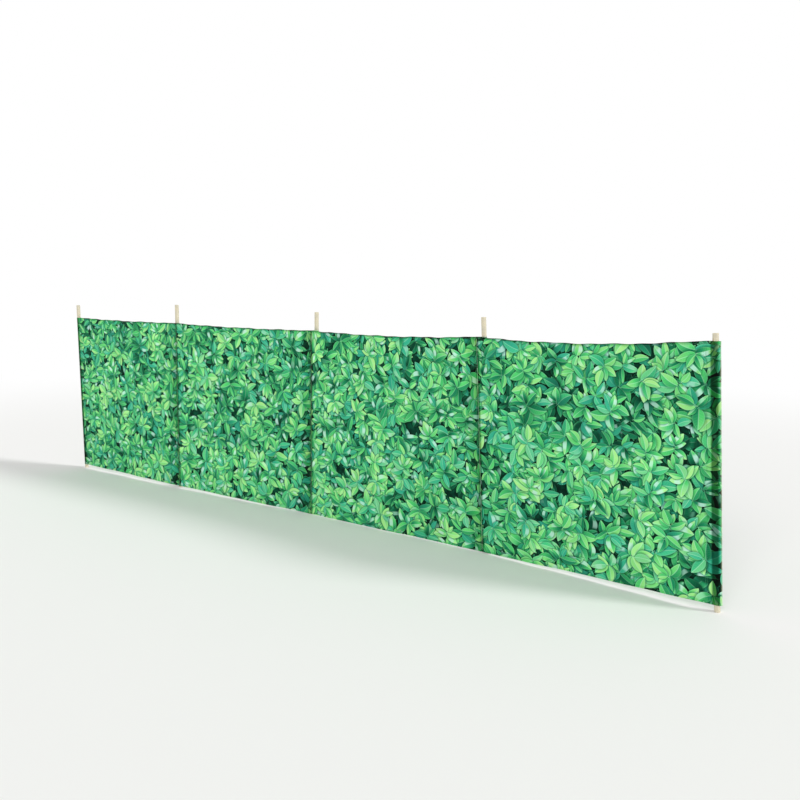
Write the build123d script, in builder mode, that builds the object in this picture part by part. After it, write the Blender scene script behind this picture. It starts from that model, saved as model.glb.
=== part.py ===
from build123d import *
from math import cos, radians, sin
import os

# A beach windbreak of four bays: one long strip of printed cloth on five round
# wooden poles, standing as it was set up on level ground. Millimetres, +Z up.
# X runs along the row, and the printed front of the cloth faces -Y.

# Poles, from the left end of the row as seen from the front
pole_diameter = 27.0
pole_length = 1500.0
pole_rim_chamfer = 1.5
driven_depths = (169.0, 152.0, 183.0, 186.0, 228.0)

# Cloth, with a turned hem along its top and its bottom, hung clear of the ground
# by its gap at each pole, and with its top's sag in each bay
cloth_height = 1200.0
cloth_thickness = 1.0
hem_width = 12.0
hem_build_up = 1.0
ground_gaps = (31.0, 18.0, 2.0, 5.0, 34.0)
top_sags = (5.0, 8.0, 16.0, 24.0)

# Pole pockets: a flat fold at each end of the strip, and a loop behind each seam
end_pocket_width = 60.0
left_fold_overhang = 2.0
right_fold_overhang = 8.0
end_flap_width = 12.0
loop_reach = 42.0
loop_flange_width = 15.0
loop_swings = (-37.0, 21.5, 61.0)
cloth_bend_radius = 0.5
pocket_clearance = 0.3
seam_gap = 0.2

# How the row stands: the usual length of a bay along the ground, what each bay
# adds to it, its heading, and how far each pole leans along X by the cloth's height
bay_length = 1240.0
bay_stretches = (-62.0, -9.0, 27.0, 41.0)
bay_headings = (1.0, 3.2, 0.1, -4.1)
top_leans = (-8.0, 17.0, 11.0, -67.0, -81.0)

# Worked out from the sizes above
bay_count = len(bay_stretches)
pole_count = bay_count + 1
middle_pole = bay_count // 2
pole_radius = pole_diameter / 2
pocket_radius = pole_radius + pocket_clearance
bend_turn = cloth_bend_radius + cloth_thickness


def along(heading):
    """Unit vector along the row at a heading in degrees."""
    return Vector(cos(radians(heading)), sin(radians(heading)), 0)


def is_end(pole):
    """Whether a pole stands in one of the two end pockets."""
    return pole in (0, pole_count - 1)


def inward(pole):
    """Sign along the row from an end of the cloth towards its middle."""
    return 1 if pole == 0 else -1


def pocket_heading(pole):
    """Heading of the bay that a pocket is sewn to: the one on its left, if any."""
    return bay_headings[max(pole - 1, 0)]


def pole_place(pole):
    """Centre of a pole in its pocket's plan: along the row, and back."""
    if is_end(pole):
        overhang = left_fold_overhang if pole == 0 else right_fold_overhang
        inset = overhang + cloth_thickness + pocket_radius
        return inward(pole) * inset, cloth_thickness + pocket_radius
    swing = radians(loop_swings[pole - 1])
    return loop_reach * sin(swing), loop_reach * cos(swing)


def pole_offset(pole):
    """From a station of the cloth to the pole there."""
    x, back = pole_place(pole)
    heading = pocket_heading(pole)
    return along(heading) * x + along(heading + 90) * back


def find_stations():
    """Ground points of the cloth's ends and seams, with the middle pole at zero."""
    points = [Vector(0, 0, 0)]
    for stretch, heading in zip(bay_stretches, bay_headings):
        points.append(points[-1] + along(heading) * (bay_length + stretch))
    shift = points[middle_pole] + pole_offset(middle_pole)
    return [point - shift for point in points]


def find_leans():
    """Direction of each pole and its seam, with a rise of one, so that every bay is flat."""
    tops = [Vector(top_leans[0], 0, cloth_height)]
    for bay, heading in enumerate(bay_headings):
        step = (top_leans[bay + 1] - top_leans[bay]) / cos(radians(heading))
        tops.append(tops[-1] + along(heading) * step)
    return [top / cloth_height for top in tops]


stations = find_stations()
leans = find_leans()


def pocket_plane(pole, height):
    """Level plane at a height on the cloth, at a pole's station."""
    start = stations[pole] + leans[pole] * (ground_gaps[pole] + height)
    return Plane(origin=start, x_dir=along(pocket_heading(pole)), z_dir=(0, 0, 1))


def raise_cloth(pole, height, mode=Mode.ADD):
    """Extrude the level sketch along a leaning pole, up to a height."""
    extrude(amount=height * leans[pole].length, dir=leans[pole], mode=mode)


def pull_tight(circles, thickness):
    """Outline of cloth of a thickness pulled tight round circles (x, y, radius)."""
    for x, y, radius in circles:
        with Locations((x, y)):
            Circle(radius + thickness)
    make_hull()


def fill_between(x_start, x_end, y_start, y_end, mode=Mode.ADD):
    """Rectangle between two places along the row and two places back."""
    with Locations(((x_start + x_end) / 2, (y_start + y_end) / 2)):
        Rectangle(abs(x_end - x_start), abs(y_end - y_start), mode=mode)


def wrapped_circles(pole):
    """What a pocket's cloth goes round inside: the pole, its seam and its fold."""
    x, back = pole_place(pole)
    circles = [(x, back, pocket_radius)]
    if is_end(pole):
        side = inward(pole)
        circles.append((side * bend_turn, back, cloth_bend_radius))
        circles.append((side * (end_pocket_width - bend_turn), bend_turn, cloth_bend_radius))
    else:
        circles.append((-bend_turn, cloth_thickness + bend_turn, cloth_bend_radius))
    return circles


def sewn_edge(pole):
    """Where a pocket is sewn flat on the cloth's back: from its seam to its edge."""
    if is_end(pole):
        side = inward(pole)
        return side * end_pocket_width, side * (end_pocket_width + end_flap_width)
    return 0, -loop_flange_width


def add_sewn_edge(pole):
    """The pocket's flat edge behind a bay, and its front up to the seam of an end one."""
    seam, edge = sewn_edge(pole)
    before = seam - inward(pole) * bend_turn
    if is_end(pole):
        fill_between(before, seam, 0, cloth_thickness)
        fill_between(before, seam, cloth_thickness, 2 * cloth_thickness)
    fill_between(seam, edge, cloth_thickness, 2 * cloth_thickness)


def clear_of_bays(pole):
    """Cut a pocket's hem back from where the hems of the bays beside it run."""
    seam, edge = sewn_edge(pole)
    fill_between(seam, edge, -hem_build_up, cloth_thickness, Mode.SUBTRACT)
    if not is_end(pole):
        behind_bay = cloth_thickness + hem_build_up
        fill_between(seam, loop_reach, -hem_build_up, behind_bay, Mode.SUBTRACT)


def make_pole(pole):
    """A round pole, cut level at the ground, with a broken edge round its top."""
    foot = stations[pole] + pole_offset(pole)
    with BuildPart() as post:
        with BuildSketch(Plane(origin=foot, z_dir=leans[pole])):
            Circle(pole_radius)
        extrude(amount=pole_length - driven_depths[pole])
        chamfer(post.edges().group_by(Axis.Z)[-1], length=pole_rim_chamfer)
        extrude(post.faces().sort_by(Axis.Z)[0], amount=pole_radius)
        split(bisect_by=Plane.XY, keep=Keep.TOP)
    post.part.label = f"pole_{pole + 1}"
    export_step(post.part, f"parts/{post.part.label}.step")


def make_pocket(pole):
    """The cloth round a pole, hemmed at both mouths and sewn to the bays' back."""
    circles = wrapped_circles(pole)
    with BuildPart() as pocket:
        with BuildSketch(pocket_plane(pole, 0)):
            pull_tight(circles, cloth_thickness)
            add_sewn_edge(pole)
        raise_cloth(pole, cloth_height)
        for level in (0, cloth_height - hem_width):
            with BuildSketch(pocket_plane(pole, level)):
                pull_tight(circles, cloth_thickness + hem_build_up)
                clear_of_bays(pole)
            raise_cloth(pole, hem_width)
        with BuildSketch(pocket_plane(pole, 0)):
            pull_tight(circles, 0)
        raise_cloth(pole, cloth_height, Mode.SUBTRACT)
    pocket.part.label = f"pocket_{pole + 1}"
    export_step(pocket.part, f"parts/{pocket.part.label}.step")


def side_point(bay, side, height):
    """Point on a bay's left (0) or right (1) edge, at a height on the cloth."""
    pole = bay + side
    trim = end_pocket_width if is_end(pole) else seam_gap / 2
    start = stations[pole] + along(bay_headings[bay]) * (trim if side == 0 else -trim)
    return start + leans[pole] * (ground_gaps[pole] + height)


def bay_plane(bay):
    """Plane of a bay's front face, x along the row and y up."""
    across = along(bay_headings[bay])
    return Plane(origin=side_point(bay, 0, 0), x_dir=across, z_dir=across.cross(leans[bay]))


def sagging_line(start, end, sag):
    """Edge of the cloth between two poles, lower in its middle by its sag."""
    if sag:
        ThreePointArc(start, (start + end) / 2 - Vector(0, sag), end)
    else:
        Line(start, end)


def make_strip(name, bay, levels, sags, build_up):
    """Cloth of one bay between two levels, each with its sag."""
    front = bay_plane(bay)
    low, high = levels
    low_left = front.to_local_coords(side_point(bay, 0, low))
    low_right = front.to_local_coords(side_point(bay, 1, low))
    high_left = front.to_local_coords(side_point(bay, 0, high))
    high_right = front.to_local_coords(side_point(bay, 1, high))
    with BuildPart() as strip:
        with BuildSketch(front.offset(build_up)):
            with BuildLine():
                sagging_line(low_left, low_right, sags[0])
                Line(low_right, high_right)
                sagging_line(high_right, high_left, sags[1])
                Line(high_left, low_left)
            make_face()
        extrude(amount=-(build_up + cloth_thickness))
    strip.part.label = f"{name}_{bay + 1}"
    export_step(strip.part, f"parts/{strip.part.label}.step")


os.makedirs("parts", exist_ok=True)

for number in range(pole_count):
    make_pole(number)
    make_pocket(number)

for number, sag in enumerate(top_sags):
    hem_edge = cloth_height - hem_width
    make_strip("panel", number, (hem_width, hem_edge), (0, sag), 0)
    make_strip("top_hem", number, (hem_edge, cloth_height), (sag, sag), hem_build_up)
    make_strip("bottom_hem", number, (0, hem_width), (0, 0), hem_build_up)
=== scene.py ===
import logging
from dataclasses import dataclass, field
from enum import Enum
from functools import cached_property
from math import ceil, cos, pi, radians, sin
from typing import Any

import bmesh
import bpy
import numpy as np
from mathutils import Matrix, Vector
from mathutils.geometry import convex_hull_2d


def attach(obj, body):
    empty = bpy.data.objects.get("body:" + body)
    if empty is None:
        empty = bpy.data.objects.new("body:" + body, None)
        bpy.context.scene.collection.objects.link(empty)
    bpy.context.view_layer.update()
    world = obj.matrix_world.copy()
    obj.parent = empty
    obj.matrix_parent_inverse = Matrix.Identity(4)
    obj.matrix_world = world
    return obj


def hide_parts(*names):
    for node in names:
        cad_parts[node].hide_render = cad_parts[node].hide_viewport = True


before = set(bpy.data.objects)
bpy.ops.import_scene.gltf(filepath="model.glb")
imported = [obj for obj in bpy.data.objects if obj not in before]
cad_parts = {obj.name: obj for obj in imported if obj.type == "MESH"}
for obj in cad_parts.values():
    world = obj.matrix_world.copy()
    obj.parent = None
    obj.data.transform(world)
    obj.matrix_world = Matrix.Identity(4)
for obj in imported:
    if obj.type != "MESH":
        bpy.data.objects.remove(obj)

LOG = logging.getLogger("windbreak")
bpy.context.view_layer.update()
MM = 0.001
TURN = 2 * pi
BODY = "root"
PRINT_MAP, GRAIN_MAP, LIGHT_MAP = "print", "grain", "light"
WHITE = (1.0, 1.0, 1.0, 1.0)
PLASTIC_IOR = WOOD_IOR = 1.5
# The share of light left on cut edges, where cloth lies doubled, and on its back. Above one
# it is a painted highlight, paler than the print, where the sun lights the fold at the far end, which takes
# most of it
EDGE_LIGHT, DOUBLED_LIGHT, BACK_LIGHT, SUNLIT_FOLD_LIGHT = 0.35, 0.8, 0.88, 1.3
# How many leaves a quad stores, and where along itself a leaf lies that isn't used
LEAVES_DEEP = 8
FAR_AWAY = 9.0
# The outline of a printed leaf, shared by the layout and the material: its half width is
# LEAF_WIDTH * s ** LEAF_BASE_POWER * (1 - s) ** LEAF_TIP_POWER, which is 1 at its widest.
# Past its ends it narrows by LEAF_PAST half widths a length. It bends to a side by the sine
# of its number, of which LEAF_NUMBERS are told apart
LEAF_BASE_POWER = 0.6
LEAF_TIP_POWER = 0.85
LEAF_WIDTH = 2.674
LEAF_PAST = 4.5
LEAF_BEND = 1.3
LEAF_BEND_STEP = 2.4
LEAF_NUMBERS = 4096

Line = tuple[np.ndarray, np.ndarray]
Span = tuple[float, float]


class Side(Enum):
    """Which side of the cloth a face shows."""

    PRINTED = "printed side"
    BACK = "back"


class Edge(Enum):
    """Which edge of the cloth a hem runs along."""

    TOP = "top"
    BOTTOM = "bottom"


def linear(hex_code: str) -> tuple[float, float, float, float]:
    """Turn an sRGB hex colour into the linear colour that the shaders use.

    Args:
        hex_code: six hex digits after a hash.

    Returns:
        Red, green, blue and an alpha of one.
    """
    channels = [int(hex_code[at:at + 2], 16) / 255 for at in (1, 3, 5)]
    bent = [c / 12.92 if c <= 0.04045 else ((c + 0.055) / 1.055) ** 2.4 for c in channels]
    return bent[0], bent[1], bent[2], 1.0


def put(tree: bpy.types.NodeTree, kind: str, *feeds: Any, **settings: Any) -> Any:
    """Add a node to a tree.

    Args:
        tree: the material's, world's or group's node tree.
        kind: the node's type name, less the ShaderNode that most begin with.
        feeds: a value or a linked socket for each of the first inputs, or a dict of them
            by the inputs' indexes or names.
        settings: the node's own properties.

    Returns:
        The new node's outputs.
    """
    node = tree.nodes.new(kind if kind.startswith("NodeGroup") else f"ShaderNode{kind}")
    for name, value in settings.items():
        setattr(node, name, value)
    for place, given in enumerate(feeds):
        for key, feed in (given if isinstance(given, dict) else {place: given}).items():
            if isinstance(feed, bpy.types.NodeSocket):
                tree.links.new(feed, node.inputs[key])
            else:
                node.inputs[key].default_value = feed
    return node.outputs


def empty_tree(owner: bpy.types.Material | bpy.types.World) -> bpy.types.NodeTree:
    """Give a new material or world a node tree with nothing in it.

    Args:
        owner: the material or world.

    Returns:
        Its node tree.
    """
    owner.use_nodes = True
    owner.node_tree.nodes.clear()
    return owner.node_tree


def show(name: str, data: bpy.types.ID) -> bpy.types.Object:
    """Put a mesh, a lamp or a camera into the scene.

    Args:
        name: the object's name.
        data: what it holds.

    Returns:
        The new object.
    """
    thing = bpy.data.objects.new(name, data)
    bpy.context.scene.collection.objects.link(thing)
    return thing


def finish_mesh(mesh: bpy.types.Mesh, materials: list[bpy.types.Material],
                sharp_above: float) -> bpy.types.Object:
    """Weld a mesh, turn its faces outward, smooth it and put it into the scene.

    Args:
        mesh: the mesh, in which points closer than a hundredth of a millimetre are one.
        materials: the material of each slot.
        sharp_above: angle in degrees above which an edge stays sharp.

    Returns:
        The new object.
    """
    welding = bmesh.new()
    welding.from_mesh(mesh)
    bmesh.ops.remove_doubles(welding, verts=welding.verts, dist=0.01 * MM)
    bmesh.ops.recalc_face_normals(welding, faces=welding.faces)
    welding.to_mesh(mesh)
    welding.free()
    mesh.polygons.foreach_set("use_smooth", [True] * len(mesh.polygons))
    mesh.set_sharp_from_angle(angle=radians(sharp_above))
    for material in materials:
        mesh.materials.append(material)
    return show(mesh.name, mesh)


def smooth(value: np.ndarray | float) -> np.ndarray | float:
    """Ease a value from 0 to 1, held at both ends."""
    held = np.clip(value, 0.0, 1.0)
    return held * held * (3 - 2 * held)


def along(heading: float) -> np.ndarray:
    """Level unit vector at a heading in degrees."""
    return np.array([cos(radians(heading)), sin(radians(heading)), 0.0])


def travelled(line: np.ndarray) -> np.ndarray:
    """How far each point of a line is from its start, along it."""
    return np.concatenate([[0], np.cumsum(np.linalg.norm(np.diff(line, axis=0), axis=1))])


def spaced(length: float, pitch: float, near_start: tuple[float, ...],
           near_end: tuple[float, ...]) -> np.ndarray:
    """Places along a length: some close to its ends, and the rest evenly between.

    Args:
        length: the whole length.
        pitch: about how far apart the even ones are.
        near_start: distances from the start, in rising order.
        near_end: distances from the end, in rising order.

    Returns:
        Rising places from zero to the length.
    """
    first, last = near_start[-1], length - near_end[-1]
    middle = np.linspace(first, last, max(1, ceil((last - first) / pitch)) + 1)
    return np.concatenate([near_start[:-1], middle, [length - gap for gap in reversed(near_end[:-1])]])


@dataclass(frozen=True)
class Row:
    """How the windbreak stands, with the sizes of the CAD part in metres and degrees."""

    cloth_height: float = 1.2
    cloth_thickness: float = 0.001
    hem_width: float = 0.012
    end_pocket_width: float = 0.060
    end_flap_width: float = 0.012
    fold_overhangs: Span = (0.002, 0.008)
    loop_reach: float = 0.042
    loop_flange_width: float = 0.015
    loop_swings: tuple[float, ...] = (-37.0, 21.5, 61.0)
    pole_radius: float = 0.0135
    pocket_clearance: float = 0.0003
    fold_radius: float = 0.0005
    seam_gap: float = 0.0002
    ground_gaps: tuple[float, ...] = (0.031, 0.018, 0.002, 0.005, 0.034)
    top_sags: tuple[float, ...] = (0.005, 0.008, 0.016, 0.024)
    bay_lengths: tuple[float, ...] = (1.178, 1.231, 1.267, 1.281)
    bay_headings: tuple[float, ...] = (1.0, 3.2, 0.1, -4.1)
    top_leans: tuple[float, ...] = (-0.008, 0.017, 0.011, -0.067, -0.081)
    exposed_lengths: tuple[float, ...] = (1.331, 1.348, 1.317, 1.314, 1.272)
    middle_pole: int = 2
    # How thick the cloth is drawn, and about how far apart its rows and columns of quads are
    drawn_thickness: float = 0.7 * MM
    quad_pitch: float = 12 * MM

    @property
    def pocket_radius(self) -> float:
        """Inner radius of the cloth that goes round a pole."""
        return self.pole_radius + self.pocket_clearance

    def is_end(self, pole: int) -> bool:
        """Whether a pole stands in one of the two end pockets."""
        return pole in (0, len(self.bay_lengths))

    def inward(self, pole: int) -> int:
        """Sign along the row from an end of the cloth towards its middle."""
        return 1 if pole == 0 else -1

    def heading(self, pole: int) -> float:
        """Heading of the bay that a pocket is sewn to."""
        return self.bay_headings[max(pole - 1, 0)]

    def pole_place(self, pole: int) -> Span:
        """Find a pole in its pocket's plan.

        Args:
            pole: the pole's number.

        Returns:
            How far it is along the row, and back, from the cloth's end or seam.
        """
        if self.is_end(pole):
            overhang = self.fold_overhangs[0 if pole == 0 else 1]
            inset = overhang + self.cloth_thickness + self.pocket_radius
            return self.inward(pole) * inset, self.cloth_thickness + self.pocket_radius
        swing = radians(self.loop_swings[pole - 1])
        return self.loop_reach * sin(swing), self.loop_reach * cos(swing)

    def pole_offset(self, pole: int) -> np.ndarray:
        """Level vector from a station of the cloth to the pole there."""
        x, back = self.pole_place(pole)
        return along(self.heading(pole)) * x + along(self.heading(pole) + 90) * back

    def station(self, pole: int) -> np.ndarray:
        """Find the ground point of the cloth's end or seam, with the middle pole's foot at zero.

        Args:
            pole: the number of the pole there.

        Returns:
            The point.
        """
        points = [np.zeros(3)]
        for length, heading in zip(self.bay_lengths, self.bay_headings):
            points.append(points[-1] + along(heading) * length)
        return points[pole] - (points[self.middle_pole] + self.pole_offset(self.middle_pole))

    def lean(self, pole: int) -> np.ndarray:
        """Find the direction of a pole and its seam.

        Args:
            pole: the pole's number.

        Returns:
            A vector along it with a rise of one metre.
        """
        top = np.array([self.top_leans[0], 0.0, self.cloth_height])
        for bay in range(pole):
            step = (self.top_leans[bay + 1] - self.top_leans[bay]) / cos(radians(self.bay_headings[bay]))
            top = top + along(self.bay_headings[bay]) * step
        return top / self.cloth_height


@dataclass
class Patchwork:
    """A mesh put together from grids of points that meet at their borders."""

    name: str
    grids: list[tuple[np.ndarray, ...]] = field(default_factory=list)
    count: int = 0
    sharp_above: float = 40.0

    def add_grid(self, points: np.ndarray, places: np.ndarray, side: Side, light: np.ndarray | float) -> None:
        """Add a grid of quads.

        Args:
            points: rows by columns of points, in metres.
            places: rows by columns of places on the print, in metres.
            side: which side of the cloth it shows.
            light: the share of light left there, one for all or one for each point.
        """
        rows, columns = points.shape[:2]
        numbers = self.count + np.arange(rows * columns).reshape(rows, columns)
        quads = np.stack([numbers[:-1, :-1], numbers[:-1, 1:], numbers[1:, 1:], numbers[1:, :-1]], axis=-1)
        self.grids.append((points.reshape(-1, 3), quads.reshape(-1, 4), places.reshape(-1, 2),
                           np.broadcast_to(light, (rows, columns)).reshape(-1),
                           np.full((rows - 1) * (columns - 1), list(Side).index(side))))
        self.count += rows * columns

    def add_cut_edges(self, front: np.ndarray, back: np.ndarray, places: np.ndarray) -> None:
        """Close a thin sheet's four cut edges, between its front and its back.

        Args:
            front: rows by columns of points of its front.
            back: the same for its back.
            places: rows by columns of places on the print.
        """
        for cut in (np.s_[:1], np.s_[-1:], np.s_[:, :1], np.s_[:, -1:]):
            axis = 0 if front[cut].shape[0] == 1 else 1
            edge = np.concatenate([front[cut], back[cut]], axis=axis)
            edge_places = np.concatenate([places[cut], places[cut]], axis=axis)
            self.add_grid(edge, edge_places, Side.PRINTED, EDGE_LIGHT)

    def build(self, materials: list[bpy.types.Material]) -> bpy.types.Object:
        """Merge the grids into one closed mesh object.

        Args:
            materials: the material of each side of the cloth.

        Returns:
            The new object.
        """
        points, faces, places, lights, sides = (np.concatenate(parts) for parts in zip(*self.grids))
        corners = faces.reshape(-1)
        mesh = bpy.data.meshes.new(self.name)
        mesh.from_pydata(points.tolist(), [], faces.tolist())
        layer = mesh.uv_layers.new(name=PRINT_MAP)
        layer.data.foreach_set("uv", places[corners].astype(np.float32).reshape(-1))
        light = mesh.attributes.new(LIGHT_MAP, "FLOAT", "CORNER")
        light.data.foreach_set("value", lights[corners].astype(np.float32))
        mesh.polygons.foreach_set("material_index", sides.astype(np.int32))
        return finish_mesh(mesh, materials, self.sharp_above)


@dataclass(frozen=True)
class LeafPrint:
    """The leafy print: sprigs of pointed leaves over single darker ones, laid out by chance.

    The layout and the shape of its leaves are made up here. Only their size, their
    crowding and their colours are like those of the cloth in the photograph.
    """

    start: float = -0.14
    end: float = 5.46
    height: float = 1.2
    leaf_length: float = 0.088
    slimness: float = 0.25
    under_pitch: float = 0.05
    sprig_pitch: float = 0.09
    sprig_leaves: int = 7
    # How light a sprig is, how much lighter the top-most ones are, and how much lighter the
    # leaves are at the bottom of the cloth than at its top
    sprig_light: float = 0.37
    lighter_above: float = 0.24
    lighter_below: float = 0.11
    # Chance moves a point by up to this share of its pitch, sets a leaf's length and width
    # between two shares of the usual, and adds to its light or takes from it
    jitter: float = 0.55
    under_lengths: Span = (0.75, 1.2)
    under_widths: Span = (0.9, 1.25)
    under_lights: Span = (0.02, 0.3)
    sprig_lengths: Span = (0.66, 1.18)
    sprig_widths: Span = (0.82, 1.2)
    sprig_light_chance: float = 0.23
    leaf_light_chance: float = 0.2
    light_limits: Span = (0.06, 0.94)
    # A sprig's pairs of leaves, from the lowest: their angle to the stalk, in radians, and the
    # tip's, how far apart the pairs are, their length, and how much lighter each pair is
    lowest_angle: float = 2.1
    closer_a_pair: float = 0.72
    tip_angle: float = 0.2
    angle_chance: Span = (0.7, 1.3)
    pair_pitch: float = 0.009
    pair_chance: Span = (-0.006, 0.012)
    lowest_length: float = 1.05
    shorter_a_pair: float = 0.07
    lighter_a_pair: float = 0.05
    # How far a leaf's shadow reaches and how soft its edge is, in half widths
    shadow_reach: float = 0.62
    edge_softness: float = 0.05
    # Points a side at which a quad is checked for cover, and how far it may be from its centre
    checks: int = 4
    margin: float = 0.02
    seed: int = 20

    @cached_property
    def leaves(self) -> np.ndarray:
        """One row a leaf, top-most first: base x and y, angle, length, half width, light."""
        chance = np.random.default_rng(self.seed)
        return np.concatenate([self.lay_under(chance), self.lay_sprigs(chance)])[::-1]

    def jittered(self, pitch: float, chance: np.random.Generator) -> np.ndarray:
        """Lay points on a grid, and move each by chance.

        Args:
            pitch: the grid's pitch.
            chance: where the chance comes from.

        Returns:
            The points, in an order by chance.
        """
        across = np.arange(self.start, self.end, pitch)
        up = np.arange(-pitch, self.height + 2 * pitch, pitch)
        points = np.stack(np.meshgrid(across, up), axis=-1).reshape(-1, 2)
        points = points + chance.uniform(-self.jitter, self.jitter, points.shape) * pitch
        chance.shuffle(points)
        return points

    def lay_under(self, chance: np.random.Generator) -> np.ndarray:
        """Lay single leaves in the shade below the sprigs.

        Args:
            chance: where the chance comes from.

        Returns:
            One row a leaf, the lowest first.
        """
        rows = []
        for x, y in self.jittered(self.under_pitch, chance):
            length = self.leaf_length * chance.uniform(*self.under_lengths)
            half = length * self.slimness * chance.uniform(*self.under_widths)
            rows.append((x, y, chance.uniform(-pi, pi), length, half, chance.uniform(*self.under_lights)))
        return np.array(rows)

    def lay_sprigs(self, chance: np.random.Generator) -> np.ndarray:
        """Lay sprigs of leaves to the left and right of a stalk, with one at its tip.

        Args:
            chance: where the chance comes from.

        Returns:
            One row a leaf, the lowest first.
        """
        points = self.jittered(self.sprig_pitch, chance)
        rows = []
        for rank, (x, y) in enumerate(points):
            heading = chance.uniform(-pi, pi)
            sprig_light = self.sprig_light + self.lighter_above * (rank / len(points))
            sprig_light += chance.uniform(-self.sprig_light_chance, self.sprig_light_chance)
            sprig_light += self.lighter_below * (0.5 - y / self.height)
            for number in range(self.sprig_leaves):
                step = number // 2
                is_tip = number == self.sprig_leaves - 1
                side = -1 if number % 2 else 1
                opening = self.tip_angle if is_tip else self.lowest_angle - self.closer_a_pair * step
                spread = chance.uniform(*self.angle_chance) * opening
                out = self.pair_pitch * step + chance.uniform(*self.pair_chance)
                share = self.lowest_length - self.shorter_a_pair * step
                length = self.leaf_length * chance.uniform(*self.sprig_lengths) * share
                half = length * self.slimness * chance.uniform(*self.sprig_widths)
                light = sprig_light + self.lighter_a_pair * step
                light += chance.uniform(-self.leaf_light_chance, self.leaf_light_chance)
                rows.append((x + out * cos(heading), y + out * sin(heading), heading + side * spread,
                             length, half, np.clip(light, *self.light_limits)))
        return np.array(rows)

    def depth_in_leaf(self, place: np.ndarray, number: int) -> np.ndarray:
        """Find how deep places lie in a leaf, as the material draws it.

        Args:
            place: places along (0 to 1) and across (-1 to 1) the leaf.
            number: the leaf's number, which sets its bend.

        Returns:
            Half widths inside its edge, and less than zero outside it.
        """
        held = np.clip(place[..., 0], 0, 1)
        bend = LEAF_BEND * sin(LEAF_BEND_STEP * (number % LEAF_NUMBERS))
        across = np.abs(place[..., 1] - bend * held * (1 - held))
        width = LEAF_WIDTH * held ** LEAF_BASE_POWER * (1 - held) ** LEAF_TIP_POWER
        return width - across - LEAF_PAST * np.abs(place[..., 0] - held)

    def choose(self, quads: np.ndarray) -> np.ndarray:
        """Choose the leaves that show on each quad: top-most first, until they cover it.

        Args:
            quads: for each quad, the places of its four corners on the print.

        Returns:
            For each quad the numbers of its leaves, and -1 where it has no more.
        """
        share = (np.arange(self.checks) + 0.5) / self.checks
        across, up = [grid.reshape(-1) for grid in np.meshgrid(share, share)]
        weights = np.stack([(1 - across) * (1 - up), across * (1 - up), across * up, (1 - across) * up],
                           axis=-1)
        checked = np.einsum("pc,qcd->qpd", weights, quads)
        centres = quads.mean(axis=1)
        order = np.argsort(centres[:, 0], kind="stable")
        sorted_x = centres[order, 0]
        chosen = np.full((len(centres), LEAVES_DEEP), -1)
        filled = np.zeros(len(centres), int)
        is_covered = np.zeros(checked.shape[:2], bool)
        for number, (x, y, angle, length, half, _) in enumerate(self.leaves):
            reach = length + self.margin
            near = order[np.searchsorted(sorted_x, x - reach):np.searchsorted(sorted_x, x + reach)]
            near = near[np.abs(centres[near, 1] - y) < reach]
            near = near[(filled[near] < LEAVES_DEEP) & ~is_covered[near].all(axis=1)]
            if not len(near):
                continue
            turn = np.array([[cos(angle), -sin(angle)], [sin(angle), cos(angle)]])
            depth = self.depth_in_leaf(((checked[near] - (x, y)) @ turn) / (length, half), number)
            is_near = ((depth > -self.shadow_reach) & ~is_covered[near]).any(axis=1)
            near = near[is_near]
            chosen[near, filled[near]] = number
            filled[near] += 1
            is_covered[near] |= depth[is_near] > self.edge_softness
        return chosen

    def stamp(self, piece: bpy.types.Object) -> None:
        """Store on each quad of a cloth piece the leaves that show on it.

        A corner holds where it lies along a leaf (0 at its base, 1 at its tip) and across
        it (-1 to 1), and the leaf's number plus its light. Each place is linear on a quad,
        so the material can draw every leaf sharply from a few numbers.

        Args:
            piece: a mesh object of quads with places on the print.
        """
        mesh = piece.data
        corners = np.zeros(len(mesh.loops) * 2, np.float32)
        mesh.uv_layers[PRINT_MAP].data.foreach_get("uv", corners)
        starts, totals = np.zeros((2, len(mesh.polygons)), np.int32)
        mesh.polygons.foreach_get("loop_start", starts)
        mesh.polygons.foreach_get("loop_total", totals)
        picks = starts[:, None] + np.minimum(np.arange(4)[None, :], totals[:, None] - 1)
        quads = corners.reshape(-1, 2)[picks].astype(float)
        for deep, numbers in enumerate(self.choose(quads).T):
            values = np.full((len(mesh.loops), 3), FAR_AWAY)
            with_leaf = np.flatnonzero(numbers >= 0)
            rows = self.leaves[numbers[with_leaf]]
            turned = quads[with_leaf] - rows[:, None, 0:2]
            cosine, sine = np.cos(rows[:, 2])[:, None], np.sin(rows[:, 2])[:, None]
            on_leaf = (turned[..., 0] * cosine + turned[..., 1] * sine) / rows[:, None, 3]
            across = (turned[..., 1] * cosine - turned[..., 0] * sine) / rows[:, None, 4]
            code = np.broadcast_to((numbers[with_leaf] % LEAF_NUMBERS + rows[:, 5])[:, None], on_leaf.shape)
            values[picks[with_leaf]] = np.stack([on_leaf, across, code], axis=-1)
            attribute = mesh.attributes.new(f"leaf_{deep}", "FLOAT_VECTOR", "CORNER")
            attribute.data.foreach_set("vector", values.astype(np.float32).reshape(-1))


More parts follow.
